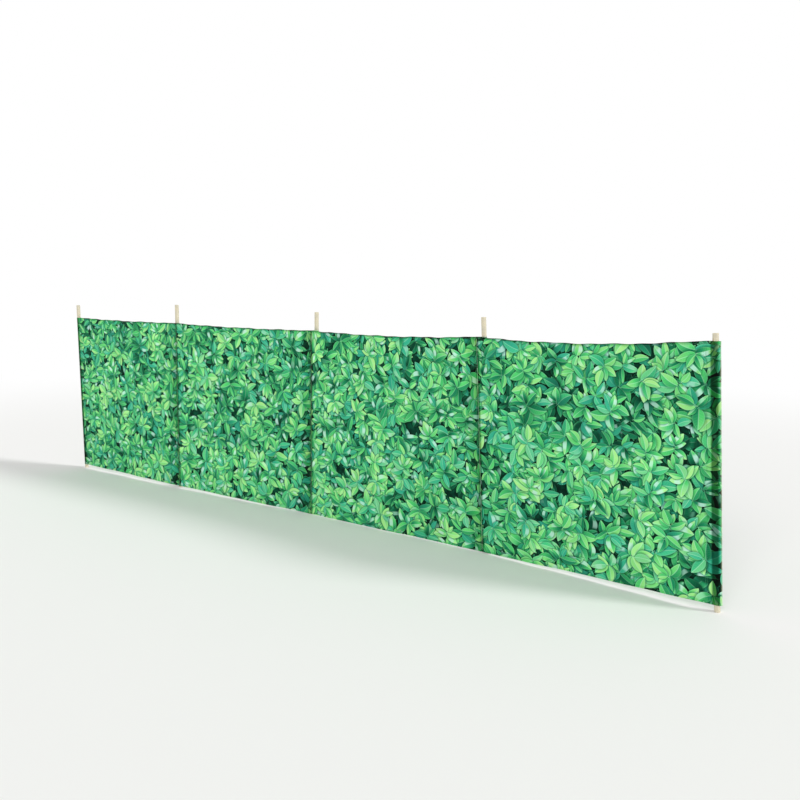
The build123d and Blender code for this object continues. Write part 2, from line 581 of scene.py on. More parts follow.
@dataclass(frozen=True)
class LeafDrawing:
    """How one printed leaf is drawn: a group of nodes that lays it over what is below it.

    A dye-sublimation print shows each leaf as flat dye: a darker and a lighter half,
    pale ribs and rim, and a soft shadow on the leaves below.
    """

    deep_green: str = "#044a33"
    shade_green: str = "#1e9864"
    leaf_green: str = "#5ce07e"
    lime: str = "#bcfd9e"
    teal: str = "#44cda9"
    mint: str = "#c8ffe0"
    glint: str = "#d8fff6"
    shadow: str = "#96bfb6"
    # Where the two greens between the deepest and lime come in
    shade_at: float = 0.32
    leaf_at: float = 0.6
    # Along a leaf in its lengths, and across it or in from its edge in its half widths
    edge_softness: float = 0.04
    shadow_span: Span = (-0.62, 0.1)
    stalk_sides: Span = (0.03, 0.08)
    stalk_starts: Span = (-0.13, -0.08)
    stalk_ends: Span = (0.05, 0.08)
    halves_meet: Span = (-0.06, 0.06)
    midrib_sides: Span = (0.02, 0.1)
    rim_sides: Span = (0.06, 0.26)
    glint_bow: Span = (0.17, 0.245)
    side_ribs: float = 8.0
    rib_slant: float = -0.16
    rib_width: float = 0.13
    # How strongly its parts show
    half_contrast: Span = (-0.13, 0.13)
    tip_contrast: Span = (-0.1, 0.7)
    rib_paleness: float = 0.2
    midrib_paleness: float = 0.8
    rim_paleness: float = 0.28
    # The tones between which its pale lines come out, and how far
    pale_tones: Span = (0.1, 0.75)
    paleness: Span = (0.08, 0.85)
    # Between which lots, drawn from 0 to 1, its halves change places, it turns teal and it
    # catches the light, and how far at most
    half_lots: Span = (0.45, 0.55)
    teal_lots: Span = (0.62, 0.95)
    most_teal: float = 0.75
    glint_lots: Span = (0.6, 0.9)
    most_glint: float = 0.75

    def build(self) -> bpy.types.NodeTree:
        """Make the group of nodes.

        Returns:
            A group that takes the colour below and a leaf's numbers, and gives the colour.
        """
        tree = bpy.data.node_groups.new("printed leaf", "ShaderNodeTree")
        for name, way, kind in (("Below", "INPUT", "Color"), ("Leaf", "INPUT", "Vector"),
                                ("Colour", "OUTPUT", "Color")):
            tree.interface.new_socket(name, in_out=way, socket_type=f"NodeSocket{kind}")
        given = put(tree, "NodeGroupInput")
        parts = put(tree, "SeparateXYZ", given["Leaf"])
        on_leaf = parts["X"]
        number = put(tree, "Math", parts["Z"], operation="FLOOR")[0]
        light = put(tree, "Math", parts["Z"], operation="FRACT")[0]
        noise = put(tree, "TexWhiteNoise", {"W": number}, noise_dimensions="1D")
        lots = put(tree, "SeparateColor", noise["Color"])

        # Where the point lies on the leaf, which is bent to a side by its number
        held = put(tree, "Clamp", on_leaf)[0]
        rest = put(tree, "Math", 1.0, held, operation="SUBTRACT")[0]
        bow = put(tree, "Math", held, rest, operation="MULTIPLY")[0]
        bend = put(tree, "Math", number, LEAF_BEND_STEP, operation="MULTIPLY")[0]
        bend = put(tree, "Math", bend, operation="SINE")[0]
        bend = put(tree, "Math", bend, LEAF_BEND, operation="MULTIPLY")[0]
        bent = put(tree, "Math", bow, bend, operation="MULTIPLY")[0]
        across = put(tree, "Math", parts["Y"], bent, operation="SUBTRACT")[0]
        side = put(tree, "Math", across, operation="ABSOLUTE")[0]
        base_side = put(tree, "Math", held, LEAF_BASE_POWER, operation="POWER")[0]
        tip_side = put(tree, "Math", rest, LEAF_TIP_POWER, operation="POWER")[0]
        oval = put(tree, "Math", base_side, tip_side, operation="MULTIPLY")[0]
        width = put(tree, "Math", oval, LEAF_WIDTH, operation="MULTIPLY")[0]
        past = put(tree, "Math", on_leaf, held, operation="SUBTRACT")[0]
        past = put(tree, "Math", past, operation="ABSOLUTE")[0]
        depth = put(tree, "Math", width, side, operation="SUBTRACT")[0]
        depth = put(tree, "Math", past, -LEAF_PAST, depth, operation="MULTIPLY_ADD")[0]
        cover = put(tree, "MapRange", depth, 0.0, self.edge_softness, interpolation_type="SMOOTHSTEP")[0]
        stalk = put(tree, "MapRange", side, *self.stalk_sides, 1.0, 0.0)[0]
        stalk_starts = put(tree, "MapRange", on_leaf, *self.stalk_starts)[0]
        stalk_ends = put(tree, "MapRange", on_leaf, *self.stalk_ends, 1.0, 0.0)[0]
        for limit in (stalk_starts, stalk_ends):
            stalk = put(tree, "Math", stalk, limit, operation="MULTIPLY")[0]
        cover = put(tree, "Math", cover, stalk, operation="MAXIMUM")[0]

        # A darker and a lighter half, lighter or darker towards its tip
        lighter_half = put(tree, "MapRange", across, *self.halves_meet, -1.0, 1.0)[0]
        which_half = put(tree, "MapRange", lots[1], *self.half_lots, *self.half_contrast)[0]
        tone = put(tree, "Math", lighter_half, which_half, light, operation="MULTIPLY_ADD")[0]
        towards_tip = put(tree, "MapRange", lots[2], 0.0, 1.0, *self.tip_contrast)[0]
        from_middle = put(tree, "Math", held, 0.5, operation="SUBTRACT")[0]
        tone = put(tree, "Math", from_middle, towards_tip, tone, operation="MULTIPLY_ADD")[0]
        body = put(tree, "ValToRGB", tone)[0]
        ramp = body.node.color_ramp
        ramp.elements[0].color, ramp.elements[1].color = linear(self.deep_green), linear(self.lime)
        ramp.elements.new(self.shade_at).color = linear(self.shade_green)
        ramp.elements.new(self.leaf_at).color = linear(self.leaf_green)
        is_teal = put(tree, "MapRange", noise["Value"], *self.teal_lots, 0.0, self.most_teal)[0]

        # Pale ribs and rim, more so on a lighter leaf
        ribs = put(tree, "Math", side, self.rib_slant, held, operation="MULTIPLY_ADD")[0]
        ribs = put(tree, "Math", ribs, self.side_ribs, operation="MULTIPLY")[0]
        ribs = put(tree, "Math", ribs, 0.5, operation="PINGPONG")[0]
        pale = put(tree, "MapRange", ribs, 0.0, self.rib_width, self.rib_paleness, 0.0)[0]
        midrib = put(tree, "MapRange", side, *self.midrib_sides, self.midrib_paleness, 0.0)[0]
        rim = put(tree, "MapRange", depth, *self.rim_sides, self.rim_paleness, 0.0)[0]
        for line in (midrib, rim):
            pale = put(tree, "Math", pale, line, operation="MAXIMUM")[0]
        how_pale = put(tree, "MapRange", tone, *self.pale_tones, *self.paleness)[0]
        pale = put(tree, "Math", pale, how_pale, operation="MULTIPLY")[0]

        # Some leaves catch the light on their lighter half
        glint = put(tree, "Math", lighter_half, which_half, operation="MULTIPLY")[0]
        glint = put(tree, "MapRange", glint, 0.0, self.half_contrast[1])[0]
        glint_along = put(tree, "MapRange", bow, *self.glint_bow, interpolation_type="SMOOTHSTEP")[0]
        glint_lot = put(tree, "MapRange", lots[2], *self.glint_lots, 0.0, self.most_glint)[0]
        for limit in (glint_along, glint_lot):
            glint = put(tree, "Math", glint, limit, operation="MULTIPLY")[0]
        colour = body
        for share, tint in ((is_teal, self.teal), (pale, self.mint), (glint, self.glint)):
            colour = put(tree, "Mix", {0: share, 6: colour, 7: linear(tint)}, data_type="RGBA")[2]

        # A leaf's shadow on those below is bluish green, darkest at the leaf's own edge
        halo = put(tree, "MapRange", depth, *self.shadow_span, interpolation_type="SMOOTHSTEP")[0]
        shadow = put(tree, "Mix", {0: halo, 6: WHITE, 7: linear(self.shadow)}, data_type="RGBA")[2]
        shaded = put(tree, "VectorMath", given["Below"], shadow, operation="MULTIPLY")[0]
        over = put(tree, "Mix", {0: cover, 6: shaded, 7: colour}, data_type="RGBA")[2]
        put(tree, "NodeGroupOutput", {"Colour": over})
        return tree


@dataclass(frozen=True)
class PrintedPolyester:
    """Plain-weave polyester cloth, dye-sublimation printed: matt, with a faint sheen.

    Dye sits in the threads, so the print keeps the weave's soft roughness. The back
    shows the print paler, and where two layers lie together less light comes through.
    """

    drawing: bpy.types.NodeTree
    gap_dark: str = "#022a1f"
    gap_green: str = "#07523a"
    back_tint: str = "#cfe6d2"
    back_paleness: float = 0.32
    # The painted highlight on the far end's sunlit fold: the tint the print goes towards there, and how far
    # at most
    highlight_tint: str = "#e6ecc8"
    most_highlight: float = 0.42
    # How far the print's shades close up where the least light comes through
    least_light: float = 0.3
    closed_up: float = 1.45
    roughness: float = 0.82
    sheen: float = 0.03
    sheen_roughness: float = 0.5
    gloss: float = 0.08
    let_through: float = 0.2
    # The gaps between the leaves are mottled in patches of about 45 mm, and uneven dye and
    # handling marks are about 170 mm across, down to a few centimetres
    mottles_a_metre: float = 22.0
    marks_a_metre: float = 6.0
    # The noise's values between which the gaps go lighter, and the dye from tone to tone
    mottle_range: Span = (0.4, 0.65)
    marks_range: Span = (0.3, 0.7)
    dye_tones: Span = (0.9, 1.08)
    # Threads of about 0.3 mm, drawn 1.4 mm apart so that the weave shows close up
    thread_pitch: float = 1.4 * MM
    thread_rise: float = 0.3 * MM
    weave_depth: float = 0.12

    def build(self, side: Side) -> bpy.types.Material:
        """Make the material of one side of the cloth.

        Args:
            side: the side.

        Returns:
            The material.
        """
        material = bpy.data.materials.new(f"polyester {side.value}")
        tree = empty_tree(material)
        place = put(tree, "UVMap", uv_map=PRINT_MAP)[0]
        mottle = put(tree, "TexNoise", {"Vector": place, "Scale": self.mottles_a_metre, "Detail": 3.0})[0]
        gap = put(tree, "MapRange", mottle, *self.mottle_range)[0]
        colour = put(tree, "Mix", {0: gap, 6: linear(self.gap_dark), 7: linear(self.gap_green)},
                     data_type="RGBA")[2]
        for deep in reversed(range(LEAVES_DEEP)):
            leaf = put(tree, "Attribute", attribute_name=f"leaf_{deep}")["Vector"]
            colour = put(tree, "Group", {"Below": colour, "Leaf": leaf}, node_tree=self.drawing)["Colour"]
        uneven = put(tree, "TexNoise", {"Vector": place, "Scale": self.marks_a_metre, "Detail": 4.0})[0]
        tone = put(tree, "MapRange", uneven, *self.marks_range, *self.dye_tones)[0]
        # Where a pole or more cloth behind it keeps the light out, the print's shades go nearly black
        light = put(tree, "Attribute", attribute_name=LIGHT_MAP)["Fac"]
        depth = put(tree, "MapRange", light, self.least_light, 1.0, self.closed_up, 1.0)[0]
        colour = put(tree, "Gamma", colour, depth)[0]
        kept = put(tree, "Math", light, 1.0, operation="MINIMUM")[0]
        tone = put(tree, "Math", tone, kept, operation="MULTIPLY")[0]
        colour = put(tree, "VectorMath", colour, {"Scale": tone}, operation="SCALE")[0]
        # Where the light is above one the print goes pale: a painted highlight on the sunlit fold at the far
        # end
        fold_highlight = put(tree, "MapRange", light, 1.0, SUNLIT_FOLD_LIGHT, 0.0, self.most_highlight)[0]
        colour = put(tree, "Mix", {0: fold_highlight, 6: colour, 7: linear(self.highlight_tint)}, data_type="RGBA")[2]
        if side is Side.BACK:
            paler = {0: self.back_paleness, 6: colour, 7: linear(self.back_tint)}
            colour = put(tree, "Mix", paler, data_type="RGBA")[2]
        bump = self.weave(tree, place)
        cloth = put(tree, "BsdfPrincipled", {
            "Base Color": colour, "Roughness": self.roughness, "Sheen Weight": self.sheen,
            "Sheen Roughness": self.sheen_roughness, "IOR": PLASTIC_IOR, "Specular IOR Level": self.gloss,
            "Normal": bump,
        })[0]
        glow = put(tree, "BsdfTranslucent", {"Color": colour, "Normal": bump})[0]
        put(tree, "OutputMaterial", put(tree, "MixShader", self.let_through, cloth, glow)[0])
        return material

    def weave(self, tree: bpy.types.NodeTree, place: bpy.types.NodeSocket) -> bpy.types.NodeSocket:
        """Raise the threads: warp over weft by turns.

        Args:
            tree: the material's node tree.
            place: the place on the print.

        Returns:
            The bumped normal.
        """
        ways = put(tree, "VectorMath", place, {"Scale": pi / self.thread_pitch}, operation="SCALE")[0]
        parts = put(tree, "SeparateXYZ", put(tree, "VectorMath", ways, operation="SINE")[0])
        over = put(tree, "Math", parts["X"], parts["Y"], operation="MULTIPLY")[0]
        threads = {"Strength": self.weave_depth, "Distance": self.thread_rise, "Height": over}
        return put(tree, "Bump", threads)[0]


@dataclass(frozen=True)
class SewingThread:
    """Twisted polyester sewing thread, dyed to match: small bright stitches, slightly glossy."""

    colour: str = "#58c283"
    shade: str = "#2a7f53"
    roughness: float = 0.45
    sheen: float = 0.15
    # Plies of about 0.1 mm, drawn as flecks of about 1 mm so that they show close up
    flecks_a_metre: float = 900.0
    ply_rise: float = 0.1 * MM
    ply_depth: float = 0.3

    def build(self) -> bpy.types.Material:
        """Make the thread's material.

        Returns:
            The material.
        """
        material = bpy.data.materials.new("sewing thread")
        tree = empty_tree(material)
        place = put(tree, "TexCoord")["Object"]
        ply = put(tree, "TexNoise", {"Vector": place, "Scale": self.flecks_a_metre, "Detail": 2.0})[0]
        colour = put(tree, "Mix", {0: ply, 6: linear(self.shade), 7: linear(self.colour)},
                     data_type="RGBA")[2]
        bump = put(tree, "Bump", {"Strength": self.ply_depth, "Distance": self.ply_rise, "Height": ply})[0]
        put(tree, "OutputMaterial", put(tree, "BsdfPrincipled", {
            "Base Color": colour, "Roughness": self.roughness, "Sheen Weight": self.sheen, "IOR": PLASTIC_IOR,
            "Normal": bump,
        })[0])
        return material


@dataclass(frozen=True)
class SandedPine:
    """Bare softwood dowel, sanded and weathered a little: pale, with darker latewood lines.

    The grain runs along the pole, and the cut top shows its growth rings. Weather has
    greyed it in patches.
    """

    early_wood: str = "#e4dcc4"
    late_wood: str = "#cab996"
    weathered: str = "#bebbae"
    roughness: float = 0.68
    gloss: float = 0.35
    # Growth rings of a fast-grown softwood are 2 to 5 mm apart
    ring_pitch: float = 4.2 * MM
    ring_wander: float = 11 * MM
    late_share: Span = (0.5, 0.96)
    # The rings' centre lies outside the dowel and slants to it, so its lines run out at its sides
    heart: tuple[float, float, float] = (21 * MM, 9 * MM, 0.0)
    slant: tuple[float, float, float] = (0.018, 0.03, 0.0)
    # The rings wander within 14 mm across and 500 mm along the grain. Fibres of about 0.05 mm
    # are drawn as bundles of 0.7 by 45 mm so that they show. Greyed patches are 26 mm
    wanders_a_metre: tuple[float, float, float] = (70.0, 70.0, 2.0)
    bundles_a_metre: tuple[float, float, float] = (1500.0, 1500.0, 22.0)
    patches_a_metre: float = 38.0
    # The noise's values between which fibres go from tone to tone, and the wood is greyed
    fibre_range: Span = (0.3, 0.7)
    fibre_tones: Span = (0.84, 1.06)
    patch_range: Span = (0.42, 0.75)
    most_greyed: float = 0.6
    fibre_rise: float = 0.2 * MM
    fibre_depth: float = 0.2

    def build(self) -> bpy.types.Material:
        """Make the wood's material.

        Returns:
            The material.
        """
        material = bpy.data.materials.new("sanded pine")
        tree = empty_tree(material)
        grain = put(tree, "Attribute", attribute_name=GRAIN_MAP)["Vector"]
        wander, fibres = (put(tree, "TexNoise", {
            "Vector": put(tree, "VectorMath", grain, scale, operation="MULTIPLY")[0],
            "Scale": 1.0, "Detail": detail,
        })[0] for scale, detail in ((self.wanders_a_metre, 3.0), (self.bundles_a_metre, 2.0)))
        moved = put(tree, "Mapping", {"Vector": grain, "Location": self.heart, "Rotation": self.slant})[0]
        flat = put(tree, "VectorMath", moved, (1.0, 1.0, 0.0), operation="MULTIPLY")[0]
        distance = put(tree, "VectorMath", flat, operation="LENGTH")["Value"]
        rings = put(tree, "Math", wander, self.ring_wander, distance, operation="MULTIPLY_ADD")[0]
        rings = put(tree, "Math", rings, 1 / self.ring_pitch, operation="MULTIPLY")[0]
        rings = put(tree, "Math", rings, operation="FRACT")[0]
        late = put(tree, "MapRange", rings, *self.late_share)[0]
        wood = put(tree, "Mix", {0: late, 6: linear(self.early_wood), 7: linear(self.late_wood)},
                   data_type="RGBA")[2]
        streak = put(tree, "MapRange", fibres, *self.fibre_range, *self.fibre_tones)[0]
        wood = put(tree, "VectorMath", wood, {"Scale": streak}, operation="SCALE")[0]
        worn = put(tree, "TexNoise", {"Vector": grain, "Scale": self.patches_a_metre, "Detail": 4.0})[0]
        worn = put(tree, "MapRange", worn, *self.patch_range, 0.0, self.most_greyed)[0]
        wood = put(tree, "Mix", {0: worn, 6: wood, 7: linear(self.weathered)}, data_type="RGBA")[2]
        raised = {"Strength": self.fibre_depth, "Distance": self.fibre_rise, "Height": fibres}
        bump = put(tree, "Bump", raised)[0]
        put(tree, "OutputMaterial", put(tree, "BsdfPrincipled", {
            "Base Color": wood, "Roughness": self.roughness, "IOR": WOOD_IOR,
            "Specular IOR Level": self.gloss, "Normal": bump,
        })[0])
        return material


@dataclass(frozen=True)
class Finishes:
    """Every material of the windbreak, each made once."""

    cloth: list[bpy.types.Material]
    thread: bpy.types.Material
    wood: bpy.types.Material

    @classmethod
    def make(cls) -> "Finishes":
        """Make them all."""
        cloth = PrintedPolyester(LeafDrawing().build())
        return cls([cloth.build(side) for side in Side], SewingThread().build(), SandedPine().build())


@dataclass(frozen=True)
class Thread:
    """A line of lockstitch: short raised dashes of thread, one after the other."""

    # Stitches of about 3 mm, drawn a little longer and thicker than real so that they show
    pitch: float = 5.0 * MM
    stitch: float = 3.7 * MM
    radius: float = 0.4 * MM
    sides: int = 5
    # Where along a stitch its pointed ends begin
    shoulders: Span = (0.2, 0.8)
    # No edge of a stitch is sharp
    sharp_above: float = 180.0

    def capsules(self, starts: np.ndarray, ends: np.ndarray, normals: np.ndarray) -> Line:
        """Shape each stitch as a small pointed rod.

        Args:
            starts: one row a stitch, its start.
            ends: the same for its end.
            normals: the cloth's outward direction there.

        Returns:
            Points, and triangles as rows of three numbers.
        """
        axis = ends - starts
        side = np.cross(axis, normals)
        side /= np.linalg.norm(side, axis=1, keepdims=True)
        angles = [TURN * number / self.sides for number in range(self.sides)]
        rods = [starts + axis * share + (side * cos(angle) + normals * sin(angle)) * self.radius
                for share in self.shoulders for angle in angles]
        points = np.stack([starts, *rods, ends], axis=1)
        faces = []
        for number in range(self.sides):
            this, following = 1 + number, 1 + (number + 1) % self.sides
            over, beyond = this + self.sides, following + self.sides
            faces += [(0, this, following), (this, beyond, following), (this, over, beyond),
                      (over, 2 * self.sides + 1, beyond)]
        first = np.arange(len(starts)) * points.shape[1]
        return points.reshape(-1, 3), (np.array(faces)[None] + first[:, None, None]).reshape(-1, 3)

    def sew(self, name: str, lines: list[Line], material: bpy.types.Material) -> bpy.types.Object:
        """Sew along lines.

        Args:
            name: the new piece's name.
            lines: each line's points and the cloth's outward directions there.
            material: the thread's material.

        Returns:
            The new piece.
        """
        parts = []
        for points, outward in lines:
            distances = travelled(points)
            at = np.arange(0.5 * self.pitch, distances[-1] - self.stitch, self.pitch)
            parts.append([np.stack([np.interp(place, distances, column) for column in values.T], axis=1)
                          for place, values in ((at, points), (at + self.stitch, points), (at, outward))])
        points, triangles = self.capsules(*(np.concatenate(part) for part in zip(*parts)))
        mesh = bpy.data.meshes.new(name)
        mesh.from_pydata(points.tolist(), [], triangles.tolist())
        return finish_mesh(mesh, [material], self.sharp_above)


@dataclass
class Section:
    """A part of the row that has a number, from zero at the left."""

    row: Row
    finishes: Finishes
    number: int

    @property
    def label(self) -> int:
        """Its number as the CAD nodes count it, from one."""
        return self.number + 1


@dataclass
class Bay(Section):
    """One bay of cloth between two poles, with its hems and its stitches."""

    print_start: float
    # How far the cloth waves out of its plane, and each wave's share, number of waves along
    # the bay, waves a metre up it, and phase, which each bay turns further
    wave_height: float = 3.2 * MM
    waves: tuple[tuple[float, ...], ...] = (
        (1.0, 1.3, 0.35, 1.0), (0.6, 2.9, -0.8, 2.3), (0.35, 5.3, 1.1, 0.7))
    phase_a_bay: float = 1.7
    flat_by_seam: float = 0.14
    # Creases by the top corners: their share of the waves, their middle from the corner and
    # below the top, how far they spread from there, and their pitch
    crease: float = 0.7
    crease_middle: Span = (0.10, 0.09)
    crease_spread: Span = (0.11, 0.12)
    crease_pitch: float = 0.062
    crease_start: float = 0.03
    seam_curl: float = 1.6 * MM
    curl_width: float = 5 * MM
    # Ripples of its top edge: their height and pitches, how far down the cloth they reach, and
    # over which share of the bay they rise from its ends
    top_ripple: float = 1.3 * MM
    ripple_pitches: Span = (0.13, 0.31)
    ripple_reach: float = 0.15
    ripple_rise: float = 0.1
    # How far its front lies behind the CAD front, and its edges under the hems
    front_depth: float = 0.1 * MM
    under_hem: float = 1.5 * MM
    # The share of light left on the cloth by its distance from a seam: its turned edges are
    # dark, and the loop and its pole stand in the light behind its left side
    shade_places: tuple[float, ...] = (0.0, 5 * MM, 10 * MM, 16 * MM, 30 * MM, 60 * MM, 80 * MM)
    shade_left_of_seam: tuple[float, ...] = (0.28, 0.34, 0.66, 0.71, 0.76, 0.86, 1.0)
    shade_right_of_seam: tuple[float, ...] = (0.28, 0.36, 0.62, 1.0, 1.0, 1.0, 1.0)
    # Outline of a turned hem in millimetres: height above its sewn edge, out of the cloth's front
    hem_outline: tuple[Span, ...] = (
        (0.0, -0.2), (0.4, 0.35), (3.0, 0.55), (7.0, 0.6), (10.6, 0.45), (11.7, 0.0), (12.0, -0.65),
        (11.7, -1.3), (10.6, -1.75), (8.0, -1.9), (4.0, -1.85), (1.4, -1.8), (0.6, -1.4), (0.5, -1.0))
    # Its fold lies between these two places out of the cloth's front
    hem_fold: Span = (-1.2 * MM, -0.1 * MM)
    # The stitches pull the hem in a little every centimetre or so
    pucker: float = 0.22 * MM
    pucker_pitch: float = 0.011
    pucker_drift: float = 0.8
    drift_pitch: float = 0.09
    # Light left by height up a top hem, which darkens towards its fold, and on a bottom one
    hem_heights: tuple[float, ...] = (6 * MM, 8 * MM, 12 * MM)
    top_hem_light: tuple[float, ...] = (0.92, 0.45, 0.3)
    hem_light: float = 0.92
    # Where stitches lie: in from a hem's edge and from a seam, and out of the cloth's front
    hem_stitch_inset: float = 2.2 * MM
    seam_stitch_insets: Span = (4.4 * MM, 12 * MM)
    on_hem: float = 0.62 * MM
    on_cloth: float = 0.05 * MM
    on_back: float = -1.95 * MM
    # Places by the ends of a line of stitches along a hem, and the points of an upright one
    stitch_line_ends: Span = (0.0, 3 * MM)
    upright_points: int = 80

    @property
    def width(self) -> float:
        """The cloth's width between its two seams."""
        return self.row.bay_lengths[self.number] - self.trim(0) - self.trim(1)

    def trim(self, side: int) -> float:
        """How far the bay's cloth stops short of its station, at its left (0) or right (1)."""
        return self.row.seam_gap / 2 if self.is_seam(side) else self.row.end_pocket_width

    def is_seam(self, side: int) -> bool:
        """Whether the bay meets another at its left (0) or right (1)."""
        return not self.row.is_end(self.number + side)

    @property
    def across(self) -> np.ndarray:
        """Unit vector along the bay."""
        return along(self.row.bay_headings[self.number])

    @property
    def outward(self) -> np.ndarray:
        """Unit vector out of the printed front of the bay."""
        normal = np.cross(self.across, self.row.lean(self.number))
        return normal / np.linalg.norm(normal)

    def wave(self, x: np.ndarray, height: np.ndarray) -> np.ndarray:
        """Find how far the cloth stands out of its plane: slow waves, and creases by the top corners.

        Args:
            x: metres from the bay's left edge.
            height: metres up the cloth.

        Returns:
            Metres out of the printed front.
        """
        share = x / self.width
        slow = 0.0
        for size, on, up, phase in self.waves:
            turned = TURN * (on * share + up * height) + phase * self.phase_a_bay * self.label
            slow = slow + size * np.sin(turned)
        out = slow * smooth(x / self.flat_by_seam) * smooth((self.width - x) / self.flat_by_seam)
        drop = self.row.cloth_height - height
        for corner in (x, self.width - x):
            pull = np.exp(-sum(((place - middle) / spread) ** 2 for place, middle, spread
                               in zip((corner, drop), self.crease_middle, self.crease_spread)))
            creases = np.sin(TURN * (corner + drop) / self.crease_pitch)
            out = out + self.crease * pull * creases * smooth(corner / self.crease_start)
        return out * self.wave_height

    def by_seams(self, x: np.ndarray) -> list[tuple[int, np.ndarray]]:
        """For each side that is a seam, its number and how far places are from it."""
        return [(side, inset) for side, inset in enumerate((x, self.width - x)) if self.is_seam(side)]

    def curl(self, x: np.ndarray) -> np.ndarray:
        """How far the cloth turns back where it runs into a seam."""
        turned = sum((np.clip(1 - inset / self.curl_width, 0, 1) ** 2 for _, inset in self.by_seams(x)), 0.0)
        return turned * self.seam_curl

    def light(self, x: np.ndarray) -> np.ndarray:
        """Find the share of light that the seams leave on the cloth.

        Args:
            x: metres from the bay's left edge.

        Returns:
            One at places clear of a seam, and less near it.
        """
        light = np.ones_like(x)
        for side, inset in self.by_seams(x):
            shades = self.shade_left_of_seam if side else self.shade_right_of_seam
            light = light * np.interp(inset, self.shade_places, shades)
        return light

    def surface(self, x: np.ndarray | float, height: np.ndarray | float, out: np.ndarray | float) -> Line:
        """Find points of the cloth.

        Args:
            x: metres from the bay's left edge.
            height: metres up the cloth.
            out: metres out of its front face.

        Returns:
            The points, and their places on the print.
        """
        row = self.row
        x, height, out = np.broadcast_arrays(x, height, out)
        share = x / self.width
        slack = row.top_sags[self.number] * 4 * share * (1 - share)
        ripple = sum(np.sin(TURN * x / pitch + (turn + 1) * self.label)
                     for turn, pitch in enumerate(self.ripple_pitches))
        ripple = ripple * smooth(share / self.ripple_rise) * smooth((1 - share) / self.ripple_rise)
        near_top = smooth((height - row.cloth_height + self.ripple_reach) / self.ripple_reach)
        ripple = ripple * self.top_ripple * near_top
        level = height * (1 - slack / row.cloth_height) - ripple
        stand = self.wave(x, height) - self.curl(x) + out
        points = self.outward * stand[..., None]
        for side, (part, way) in enumerate(((1 - share, 1), (share, -1))):
            pole = self.number + side
            start = row.station(pole) + way * self.across * self.trim(side)
            rise = row.lean(pole) * (row.ground_gaps[pole] + level)[..., None]
            points = points + (start + rise) * part[..., None]
        return points, np.stack([self.print_start + x, height], axis=-1)

    def columns(self) -> np.ndarray:
        """Where the cloth's columns of quads meet, closer together by its seams."""
        seam = (0, 1 * MM, 2.2 * MM, 3.6 * MM, 5.2 * MM, 9 * MM, self.row.loop_flange_width + 2 * MM)
        near = [seam if self.is_seam(side) else (0, self.row.quad_pitch) for side in (0, 1)]
        return spaced(self.width, self.row.quad_pitch, near[0], near[1])

    def add_layer(self, cloth: Patchwork, x: np.ndarray, heights: np.ndarray, out: float,
                  faces: tuple[tuple[Side, np.ndarray | float], ...]) -> None:
        """Add a thin closed layer of cloth that lies along the bay.

        Args:
            cloth: the patchwork that it becomes part of.
            x: metres from the bay's left edge of its columns.
            heights: metres up the cloth of its rows.
            out: metres out of the cloth's front.
            faces: what its front and its back show, and the light left there.
        """
        front, places = self.surface(x[None, :], heights[:, None], out)
        back, _ = self.surface(x[None, :], heights[:, None], out - self.row.drawn_thickness)
        for points, (side, light) in zip((front, back), faces):
            cloth.add_grid(points, places, side, light)
        cloth.add_cut_edges(front, back, places)

    def make_cloth(self) -> bpy.types.Object:
        """Make the bay's single layer of printed cloth, a thin closed sheet.

        Returns:
            The new piece.
        """
        x = self.columns()
        hidden = self.row.hem_width - self.under_hem
        rows = (0, 2 * MM)
        heights = spaced(self.row.cloth_height - 2 * hidden, self.row.quad_pitch, rows, rows) + hidden
        cloth = Patchwork(f"bay_{self.label}_cloth")
        faces = ((Side.PRINTED, self.light(x)[None, :]), (Side.BACK, BACK_LIGHT))
        self.add_layer(cloth, x, heights, -self.front_depth, faces)
        return cloth.build(self.finishes.cloth)

    def make_hem(self, edge: Edge) -> bpy.types.Object:
        """Make the turned hem along the bay's top or bottom edge.

        Args:
            edge: the edge that it runs along.

        Returns:
            The new piece.
        """
        x = self.columns()
        rises, outs = np.array(self.hem_outline + self.hem_outline[:1]).T * MM
        fold = self.row.cloth_height if edge is Edge.TOP else 0.0
        heights = fold - self.row.hem_width + rises if edge is Edge.TOP else self.row.hem_width - rises
        drift = self.pucker_drift * np.sin(TURN * x / self.drift_pitch)
        pucker = self.pucker * np.sin(TURN * x / self.pucker_pitch + drift)
        # Its front swells outward, its back the other way, and the fold between them stays
        swell = np.where(outs > self.hem_fold[1], 1.0, np.where(outs < self.hem_fold[0], -1.0, 0.0))
        stand = outs[:, None] + swell[:, None] * pucker[None, :]
        points, places = self.surface(x[None, :], heights[:, None], stand)
        # Round its fold the hem shows the printed side at the back too, further up the cloth
        is_turned = np.arange(len(rises)) > np.argmax(rises)
        places[..., 1] = np.where(is_turned[:, None], 2 * fold - places[..., 1], places[..., 1])
        rows = np.interp(rises, self.hem_heights, self.top_hem_light) if edge is Edge.TOP else self.hem_light
        rows = np.where(is_turned, BACK_LIGHT, rows)
        hem = Patchwork(f"bay_{self.label}_{edge.value}_hem")
        hem.add_grid(points, places, Side.PRINTED, rows[:, None] * self.light(x)[None, :])
        # Quads across the outline close the hem's two ends
        half = len(self.hem_outline) // 2
        up, down = np.arange(half), len(self.hem_outline) - 1 - np.arange(half)
        for end in (0, -1):
            hem.add_grid(np.stack([points[up, end], points[down, end]], axis=1),
                         np.stack([places[up, end], places[down, end]], axis=1), Side.PRINTED, EDGE_LIGHT)
        return hem.build(self.finishes.cloth)

    def stitch_lines(self, x: np.ndarray | float, heights: np.ndarray | float, out: float) -> list[Line]:
        """Find where a row of stitches shows, on the front and on the back.

        Args:
            x: metres from the bay's left edge.
            heights: metres up the cloth.
            out: how far its front ones lie out of the cloth's front.

        Returns:
            Two lines, each of points and the outward directions there.
        """
        lines = []
        for stand, way in ((out, 1), (self.on_back, -1)):
            points, _ = self.surface(x, heights, stand)
            lines.append((points, np.broadcast_to(self.outward * way, points.shape)))
        return lines

